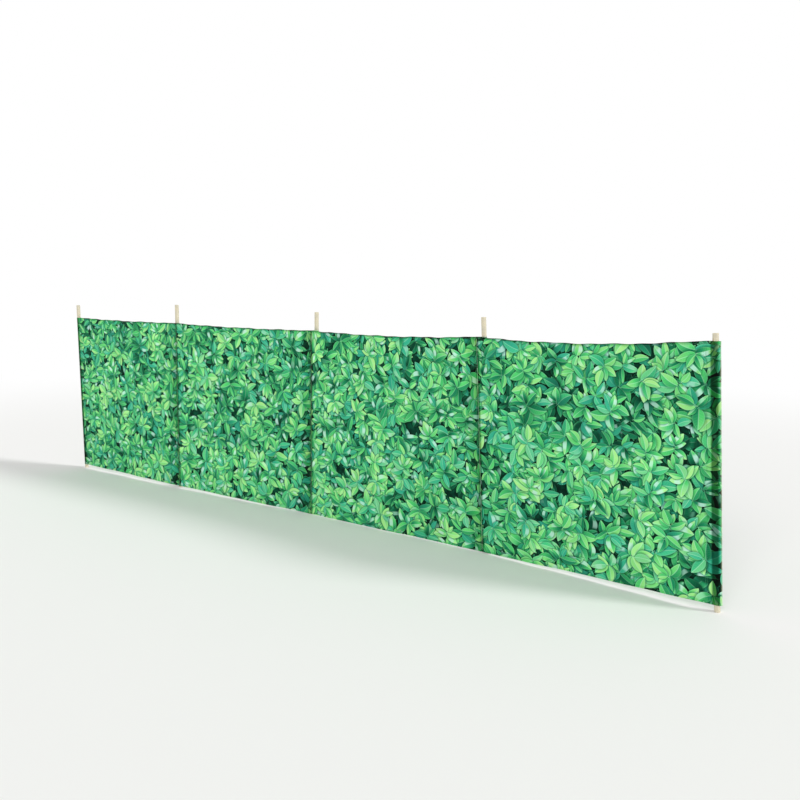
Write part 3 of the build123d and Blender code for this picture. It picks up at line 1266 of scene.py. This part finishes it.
    def upright_lines(self, x: float) -> list[Line]:
        """A row of stitches up the cloth, from hem to hem, at a distance from the bay's left edge."""
        top = self.row.cloth_height - self.row.hem_width
        heights = np.linspace(self.row.hem_width, top, self.upright_points)
        return self.stitch_lines(x, heights, self.on_cloth)

    def make_stitches(self) -> bpy.types.Object:
        """Sew the hems and the seam, on the front and the back.

        Returns:
            The new piece.
        """
        x = spaced(self.width, self.row.quad_pitch, self.stitch_line_ends, self.stitch_line_ends)
        hem = self.row.hem_width - self.hem_stitch_inset
        lines = self.stitch_lines(x, hem, self.on_hem)
        lines += self.stitch_lines(x, self.row.cloth_height - hem, self.on_hem)
        if self.is_seam(1):
            for inset in self.seam_stitch_insets:
                lines += self.upright_lines(self.width - inset)
        return Thread().sew(f"bay_{self.label}_stitches", lines, self.finishes.thread)


@dataclass
class Pocket(Section):
    """The cloth round one pole: a flat fold at an end of the strip, or a loop behind a seam."""

    bays: list[Bay]
    # The hem at each mouth stands out, over this step, and dips at its edge
    hem_swell: float = 0.8 * MM
    swell_step: float = 1.2 * MM
    mouth_dip: float = 0.4 * MM
    dip_step: float = 1.5 * MM
    # Wrinkles round the pole: height, pitch, turn by the metre round it, and clear of a mouth
    wrinkle: float = 0.35 * MM
    wrinkle_pitch: float = 0.19
    wrinkle_turn: float = 60.0
    wrinkle_start: float = 0.03
    # How far behind the bay's front the cloth is free to swell and wrinkle, none and all
    free_from: Span = (3 * MM, 9 * MM)
    mouth_rows: tuple[float, ...] = (0, 1 * MM, 6 * MM, 11 * MM, 13 * MM)
    round_points: int = 72
    round_pitch: float = 8.4 * MM
    # Its sewn edge lies on the bay's back, and its stitches this far in from its two sides
    sewn_edge_out: float = -1.15 * MM
    stitch_inset: float = 2.5 * MM
    # Columns across an end pocket's sewn edge, and how those across a loop's are spaced
    flap_columns: int = 3
    flange_pitch: float = 4 * MM
    flange_ends: Span = (0.0, 1 * MM)
    # How far the pole's shadow on an end pocket's front reaches past it, to the fold and
    # inward, how soft it is there, and the light outside and in it
    shadow_past: Span = (7.5 * MM, 5 * MM)
    shadow_soft: Span = (1.5 * MM, 3 * MM)
    shadow_light: tuple[float, ...] = (1.0, 0.3, 0.3, 0.95)
    # Light left on the far end's fold, by the distance from it: above one it is a painted highlight, where
    # the sun lights the fold
    fold_places: tuple[float, ...] = (2 * MM, 6 * MM, 12 * MM)
    fold_light: tuple[float, ...] = (SUNLIT_FOLD_LIGHT, 1.0, 0.35)

    @property
    def is_end(self) -> bool:
        """Whether it is one of the two end pockets."""
        return self.row.is_end(self.number)

    @property
    def bay(self) -> Bay:
        """The bay that it is sewn to."""
        return self.bays[max(self.number - 1, 0)]

    def circles(self) -> list[tuple[float, float, float]]:
        """Find what the cloth goes round inside, in plan.

        Returns:
            For each round of it the place along the row, the place back, and the radius.
        """
        row = self.row
        x, back = row.pole_place(self.number)
        turn = row.fold_radius + row.cloth_thickness
        side = row.inward(self.number)
        rounds = [(-turn, row.cloth_thickness + turn)]
        if self.is_end:
            rounds = [(side * turn, back), (side * (row.end_pocket_width - turn), turn)]
        return [(x, back, row.pocket_radius), *((*place, row.fold_radius) for place in rounds)]

    def ring(self) -> np.ndarray:
        """Find the outer line of the cloth in plan, closed, from its seam and round by the front.

        Returns:
            Points in plan, the first again at the end.
        """
        cloud = []
        for x, back, radius in self.circles():
            size = radius + self.row.cloth_thickness
            for number in range(self.round_points):
                angle = TURN * number / self.round_points
                cloud.append((x + size * cos(angle), back + size * sin(angle)))
        outline = np.array([cloud[index] for index in convex_hull_2d(cloud)])
        seam_x = self.row.inward(self.number) * self.row.end_pocket_width if self.is_end else 0.0
        first = int(np.argmin(np.hypot(outline[:, 0] - seam_x, outline[:, 1])))
        outline = np.roll(outline, -first, axis=0)
        (here_x, here_back), (next_x, next_back) = outline.T, np.roll(outline, -1, axis=0).T
        turns = np.sum(here_x * next_back - here_back * next_x)
        if (turns > 0) == (self.number == 0):
            outline = np.roll(outline[::-1], 1, axis=0)
        closed = np.concatenate([outline, outline[:1]])
        dense = [closed[0]]
        for start, end in zip(closed[:-1], closed[1:]):
            count = max(1, ceil(float(np.linalg.norm(end - start)) / self.round_pitch))
            dense.extend(start + (end - start) * step / count for step in range(1, count + 1))
        return np.array(dense)

    def outward_in_plan(self, ring: np.ndarray) -> np.ndarray:
        """Find the outward directions of a closed line in plan.

        Args:
            ring: its points, the first again at the end.

        Returns:
            A unit vector for each point.
        """
        body = ring[:-1]
        tangent = np.roll(body, -1, axis=0) - np.roll(body, 1, axis=0)
        normal = np.stack([tangent[:, 1], -tangent[:, 0]], axis=1)
        normal /= np.linalg.norm(normal, axis=1, keepdims=True)
        if np.sum((body - body.mean(axis=0)) * normal) < 0:
            normal = -normal
        return np.concatenate([normal, normal[:1]])

    def raise_line(self, ring: np.ndarray, heights: np.ndarray) -> np.ndarray:
        """Raise a line in plan up the leaning seam.

        Args:
            ring: rows by columns of points in plan, or one row for every height.
            heights: metres up the cloth.

        Returns:
            Rows by columns of points.
        """
        row = self.row
        heading = row.heading(self.number)
        rise = (row.ground_gaps[self.number] + heights)[:, None, None]
        return (row.station(self.number) + row.lean(self.number) * rise
                + ring[..., :1] * along(heading) + ring[..., 1:] * along(heading + 90))

    def print_along(self, ring: np.ndarray) -> np.ndarray:
        """Find the place on the print of each point of the ring: it follows the cloth from the seam.

        Args:
            ring: the ring's points.

        Returns:
            Metres along the print.
        """
        if self.number == 0:
            return self.bay.print_start - travelled(ring)
        return self.bay.print_start + self.bay.width + travelled(ring)

    def make_sleeve(self) -> bpy.types.Object:
        """Make the sleeve of cloth, hemmed at both mouths, with its sewn edge.

        Returns:
            The new piece.
        """
        row = self.row
        ring = self.ring()
        normal = self.outward_in_plan(ring)
        heights = spaced(row.cloth_height, row.quad_pitch, self.mouth_rows, self.mouth_rows)
        from_mouth = np.minimum(heights, row.cloth_height - heights)[:, None]
        swell = self.hem_swell * (1 - smooth((from_mouth - row.hem_width) / self.swell_step))
        swell = swell - self.mouth_dip * (1 - smooth(from_mouth / self.dip_step))
        is_free = smooth((ring[:, 1] - self.free_from[0]) / (self.free_from[1] - self.free_from[0]))
        turned = TURN * heights[:, None] / self.wrinkle_pitch + self.wrinkle_turn * travelled(ring)
        wrinkle = 1 + np.sin(turned)
        stand = (swell + self.wrinkle * wrinkle * smooth(from_mouth / self.wrinkle_start)) * is_free
        outer = self.raise_line(ring[None] + normal[None] * stand[..., None], heights)
        inner = self.raise_line(ring[None] - normal[None] * row.drawn_thickness, heights)
        places = np.stack(np.broadcast_arrays(self.print_along(ring)[None, :], heights[:, None]), axis=-1)
        sleeve = Patchwork(f"pocket_{self.label}_sleeve")
        outside, inside = (Side.PRINTED, Side.BACK) if self.is_end else (Side.BACK, Side.PRINTED)
        sleeve.add_grid(outer, places, outside, self.ring_light(ring)[None, :])
        sleeve.add_grid(inner, places, inside, EDGE_LIGHT)
        for end in (0, -1):
            rim = np.stack([outer[end], inner[end]])
            sleeve.add_grid(rim, np.stack([places[end]] * 2), Side.PRINTED, EDGE_LIGHT)
        if self.is_end:
            x = np.linspace(0, row.end_flap_width, self.flap_columns)
            x = x if self.number == 0 else self.bay.width - x[::-1]
        else:
            x = spaced(row.loop_flange_width, self.flange_pitch, self.flange_ends, self.flange_ends)
            x = x + self.bay.width - row.loop_flange_width
        faces = ((Side.BACK, DOUBLED_LIGHT), (outside, DOUBLED_LIGHT))
        self.bay.add_layer(sleeve, x, heights, self.sewn_edge_out, faces)
        return sleeve.build(self.finishes.cloth)

    def ring_light(self, ring: np.ndarray) -> np.ndarray:
        """Find the light left round the pocket: its pole stands in the light behind its front.

        Args:
            ring: the ring's points in plan.

        Returns:
            The share of light left at each, or one for all of them.
        """
        row = self.row
        if not self.is_end:
            return np.full(len(ring), DOUBLED_LIGHT)
        pole_x, pole_back = row.pole_place(self.number)
        dark_from = abs(pole_x) - row.pocket_radius - self.shadow_past[0]
        dark_to = abs(pole_x) + row.pocket_radius + self.shadow_past[1]
        places = [place + way * soft
                  for place, soft in zip((dark_from, dark_to), self.shadow_soft) for way in (-1, 1)]
        from_fold = np.abs(ring[:, 0])
        in_front = np.interp(from_fold, places, self.shadow_light)
        # At the far end, the cloth round the front half of the pole gets the painted highlight of the sunlit
        # fold
        is_sunlit_fold = (ring[:, 1] < pole_back) & (self.number > 0)
        round_pole = np.where(is_sunlit_fold, np.interp(from_fold, self.fold_places, self.fold_light), BACK_LIGHT)
        return np.where(ring[:, 1] < 2 * row.cloth_thickness, in_front, round_pole)

    def make_stitches(self) -> bpy.types.Object:
        """Sew an end pocket to its bay, on the front and the back.

        Returns:
            The new piece.
        """
        lines = []
        for inset in (self.stitch_inset, self.row.end_flap_width - self.stitch_inset):
            lines += self.bay.upright_lines(inset if self.number == 0 else self.bay.width - inset)
        return Thread().sew(f"pocket_{self.label}_stitches", lines, self.finishes.thread)


@dataclass
class Pole(Section):
    """A round softwood pole: straight, cut level at the ground, its struck top a little worn."""

    sides: int = 56
    sharp_above: float = 50.0
    edge_break: float = 1.5 * MM
    wear: float = 0.35 * MM
    # The cut top is slightly hollow between hammer marks
    hollow: float = 0.3 * MM
    marks: float = 0.18 * MM
    # Rings of the broken edge, in shares of it: below the top, and in from the pole's side
    broken_rings: tuple[Span, ...] = ((0.0, 1.0), (0.12, 0.62), (0.38, 0.28), (0.75, 0.07), (1.2, 0.0))
    # Rings of the cut top, in shares of the way to its edge, and those down the pole's side:
    # how many, how far the first is below the top, and the last above the ground
    top_rings: Span = (0.4, 0.72)
    side_rings: int = 40
    first_below: float = 8 * MM
    last_above: float = 20 * MM
    # Dents a turn in the worn edge, the seed that places them, and how far along the wood's
    # grain each pole is cut from the one before
    dents_a_turn: tuple[int, ...] = (3, 7)
    first_seed: int = 50
    grain_step: float = 3.1

    def rings(self, angles: np.ndarray, level: np.ndarray) -> list[tuple[np.ndarray | float, ...]]:
        """Shape the pole, from the middle of its top out to its edge and down to the ground.

        Args:
            angles: the angles of its sides.
            level: how far up the pole the ground is at each.

        Returns:
            For each ring its radius, how far it is up the pole, and the same for the grain.
        """
        chance = np.random.default_rng(self.first_seed + self.number)
        dents = 1 + sum(0.5 * np.sin(count * angles + chance.uniform(0, 6)) for count in self.dents_a_turn)
        length, radius = self.row.exposed_lengths[self.number], self.row.pole_radius
        rings = [(0.0, length - self.hollow - 0.05 * MM, length)]
        for share in self.top_rings:
            mark = self.marks * np.sin(2 * angles + 5 * share + self.number)
            rings.append(((radius - self.edge_break) * share, length - self.hollow + mark, length))
        down = [(below * self.edge_break, inset * self.edge_break) for below, inset in self.broken_rings]
        drops = np.linspace(self.first_below, length - self.last_above, self.side_rings)
        down += [(float(drop), 0.0) for drop in drops]
        for drop, inset in down:
            worn = 0.5 * self.wear * max(0.0, 1 - drop / (2 * self.edge_break)) * dents
            rings.append((radius - inset - worn, length - drop - worn, length - drop))
        return [*rings, (radius, level, level)]

    def make(self) -> bpy.types.Object:
        """Make the pole.

        Returns:
            The new piece.
        """
        row = self.row
        foot = row.station(self.number) + row.pole_offset(self.number)
        axis = row.lean(self.number) / np.linalg.norm(row.lean(self.number))
        side = np.cross(axis, [0.0, 1.0, 0.0])
        side /= np.linalg.norm(side)
        angles = TURN * np.arange(self.sides) / self.sides
        local = np.stack([np.cos(angles), np.sin(angles)], axis=1)
        spokes = local @ np.stack([side, np.cross(side, axis)])
        points, grain = [], []
        for ring in self.rings(angles, -(spokes[:, 2] * row.pole_radius) / axis[2]):
            radius, height, marked = (np.broadcast_to(value, self.sides)[:, None] for value in ring)
            points.append(foot + axis * height + spokes * radius)
            grain.append(np.column_stack([local * radius, marked + self.grain_step * self.number]))
        numbers = np.arange(len(points) * self.sides).reshape(len(points), self.sides)
        beside = np.roll(numbers, -1, axis=1)
        quads = np.stack([numbers[:-1], beside[:-1], beside[1:], numbers[1:]], axis=-1).reshape(-1, 4)
        mesh = bpy.data.meshes.new(f"pole_{self.label}_wood")
        mesh.from_pydata(np.concatenate(points).tolist(), [], [*quads.tolist(), numbers[-1].tolist()])
        attribute = mesh.attributes.new(GRAIN_MAP, "FLOAT_VECTOR", "POINT")
        attribute.data.foreach_set("vector", np.concatenate(grain).astype(np.float32).reshape(-1))
        return finish_mesh(mesh, [self.finishes.wood], self.sharp_above)


@dataclass
class Windbreak:
    """The whole windbreak: poles, bays and pockets, each piece tied to the frame."""

    row: Row
    finishes: Finishes
    leafy: LeafPrint

    def make_bays(self) -> list[Bay]:
        """Set the bays out along the strip, with the cloth that each loop takes up between them.

        Returns:
            The bays, from the left.
        """
        bays = []
        at = self.row.end_pocket_width
        for number in range(len(self.row.bay_lengths)):
            bays.append(Bay(self.row, self.finishes, number, at))
            at += bays[-1].width
            if bays[-1].is_seam(1):
                at += travelled(Pocket(self.row, self.finishes, number + 1, bays).ring())[-1]
        LOG.info("strip of %.2f m, %.2f m high", at + self.row.end_pocket_width, self.row.cloth_height)
        return bays

    def tie(self, piece: bpy.types.Object, slot: str, *nodes: str) -> bpy.types.Object:
        """Tie a piece to the frame.

        Args:
            piece: the new piece.
            slot: not used.
            nodes: the CAD nodes that it stands for.

        Returns:
            The same piece.
        """
        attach(piece, BODY)
        if nodes:
            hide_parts(*nodes)
        LOG.info("%s: %d faces", piece.name, len(piece.data.polygons))
        return piece

    def build(self) -> None:
        """Build every piece of the windbreak, its poles first."""
        bays = self.make_bays()
        LOG.info("print of %d leaves", len(self.leafy.leaves))
        poles = range(len(bays) + 1)
        for number in poles:
            pole = Pole(self.row, self.finishes, number)
            self.tie(pole.make(), "pole_wood", f"pole_{pole.label}")
        for number in poles:
            self.build_pocket(Pocket(self.row, self.finishes, number, bays))
        for bay in bays:
            self.build_bay(bay)

    def build_bay(self, bay: Bay) -> None:
        """Build one bay's cloth, hems and stitches.

        Args:
            bay: the bay.
        """
        cloth = self.tie(bay.make_cloth(), "printed_cloth", f"panel_{bay.label}")
        hems = [self.tie(bay.make_hem(edge), "doubled_cloth", f"{edge.value}_hem_{bay.label}")
                for edge in Edge]
        stitches = self.tie(bay.make_stitches(), "doubled_cloth")
        for piece in (cloth, *hems):
            self.leafy.stamp(piece)
        bay.width

    def build_pocket(self, pocket: Pocket) -> None:
        """Build one pocket's sleeve, and the stitches of an end one: a loop is sewn with its bay.

        Args:
            pocket: the pocket.
        """
        sleeve = self.tie(pocket.make_sleeve(), "doubled_cloth", f"pocket_{pocket.label}")
        self.leafy.stamp(sleeve)
        edge = self.row.end_flap_width if pocket.is_end else self.row.loop_flange_width
        sewn = [self.tie(pocket.make_stitches(), "doubled_cloth")] if pocket.is_end else []
        float(travelled(pocket.ring())[-1]) + edge
        "folded" if pocket.is_end else "hung"


@dataclass(frozen=True)
class Lamp:
    """A far, soft lamp, which lights the whole floor alike."""

    name: str
    # The direction from the object to the lamp, and how wide it looks from there in degrees
    towards: tuple[float, float, float]
    spread: float
    # Its light on a face turned to it, in watts per square metre
    strength: float

    def build(self) -> None:
        """Put the lamp into the scene."""
        data = bpy.data.lights.new(self.name, "SUN")
        data.angle, data.energy = radians(self.spread), self.strength
        lamp = show(self.name, data)
        lamp.location = self.towards
        lamp.rotation_euler = (-Vector(self.towards)).to_track_quat("-Z", "Y").to_euler()


@dataclass(frozen=True)
class Studio:
    """Pale floor, soft light and the camera, as the photograph was taken."""

    camera_place: tuple[float, float, float] = (3.1518, -3.6155, 1.4133)
    camera_yaw: float = 124.579
    camera_pitch: float = 7.834
    camera_roll: float = 0.461
    focal_pixels: float = 745.39
    picture_side: float = 800.0
    sensor_width: float = 36.0
    farthest_seen: float = 200.0
    floor_radius: float = 90.0
    floor_points: int = 96
    floor_colour: str = "#f0f0ee"
    floor_roughness: float = 0.9
    # The floor's paint fades into the white background between these distances
    fade: Span = (3.6, 10.0)
    world_light: float = 0.55
    lamps: tuple[Lamp, ...] = (Lamp("key light", (6.5, 2.2, 4.6), 12.0, 1.7),
                               Lamp("fill light", (1.0, -7.0, 4.5), 30.0, 1.0))

    def make_camera(self) -> None:
        """Set the camera where the photograph was taken from."""
        yaw, pitch, roll = radians(self.camera_yaw), radians(self.camera_pitch), radians(self.camera_roll)
        forward = Vector((cos(pitch) * cos(yaw), cos(pitch) * sin(yaw), -sin(pitch)))
        level = Vector((sin(yaw), -cos(yaw), 0.0))
        upright = level.cross(forward)
        right = cos(roll) * level + sin(roll) * upright
        up = -sin(roll) * level + cos(roll) * upright
        data = bpy.data.cameras.new("camera")
        data.sensor_width = self.sensor_width
        data.lens = self.focal_pixels / self.picture_side * self.sensor_width
        data.clip_end = self.farthest_seen
        camera = show("camera", data)
        turned = Matrix((right, up, -forward)).transposed().to_4x4()
        camera.matrix_world = Matrix.Translation(self.camera_place) @ turned
        bpy.context.scene.camera = camera

    def background_rays(self, tree: bpy.types.NodeTree) -> bpy.types.NodeSocket:
        """Tell the rays that show the white background: the camera's, reflected and let through.

        Args:
            tree: the floor's or the world's node tree.

        Returns:
            One for such a ray, and else zero.
        """
        rays = put(tree, "LightPath")
        seen = rays["Is Camera Ray"]
        for way in ("Is Glossy Ray", "Is Transmission Ray"):
            seen = put(tree, "Math", seen, rays[way], operation="MAXIMUM")[0]
        return seen

    def make_floor(self) -> None:
        """Lay a plain pale floor, which runs out into the white background far from the object."""
        mesh = bpy.data.meshes.new("floor")
        angles = [TURN * number / self.floor_points for number in range(self.floor_points)]
        rim = [(self.floor_radius * cos(angle), self.floor_radius * sin(angle), 0.0) for angle in angles]
        mesh.from_pydata(rim, [], [tuple(range(len(rim)))])
        material = bpy.data.materials.new("matt floor paint")
        tree = empty_tree(material)
        paint = put(tree, "BsdfPrincipled", {
            "Base Color": linear(self.floor_colour), "Roughness": self.floor_roughness,
        })[0]
        place = put(tree, "TexCoord")["Object"]
        distance = put(tree, "VectorMath", place, operation="LENGTH")["Value"]
        far = put(tree, "MapRange", distance, *self.fade, interpolation_type="SMOOTHSTEP")[0]
        far = put(tree, "Math", far, self.background_rays(tree), operation="MULTIPLY")[0]
        white = put(tree, "Emission", {"Color": WHITE, "Strength": 1.0})[0]
        put(tree, "OutputMaterial", put(tree, "MixShader", far, paint, white)[0])
        mesh.materials.append(material)
        show("floor", mesh)

    def make_world(self) -> None:
        """Light the scene evenly from all round, with a white background for the camera."""
        world = bpy.data.worlds.new("studio")
        tree = empty_tree(world)
        strength = put(tree, "MapRange", self.background_rays(tree), 0.0, 1.0, self.world_light, 1.0)[0]
        put(tree, "OutputWorld", put(tree, "Background", {"Color": WHITE, "Strength": strength})[0])
        bpy.context.scene.world = world

    def build(self) -> None:
        """Build the studio."""
        bpy.context.scene.view_settings.view_transform = "Standard"
        self.make_camera()
        self.make_floor()
        self.make_world()
        for lamp in self.lamps:
            lamp.build()


def main() -> None:
    """Build the windbreak and its studio."""
    logging.basicConfig(level=logging.INFO, format="%(name)s: %(message)s")
    Studio().build()
    Windbreak(Row(), Finishes.make(), LeafPrint()).build()


if __name__ == "__main__":
    main()
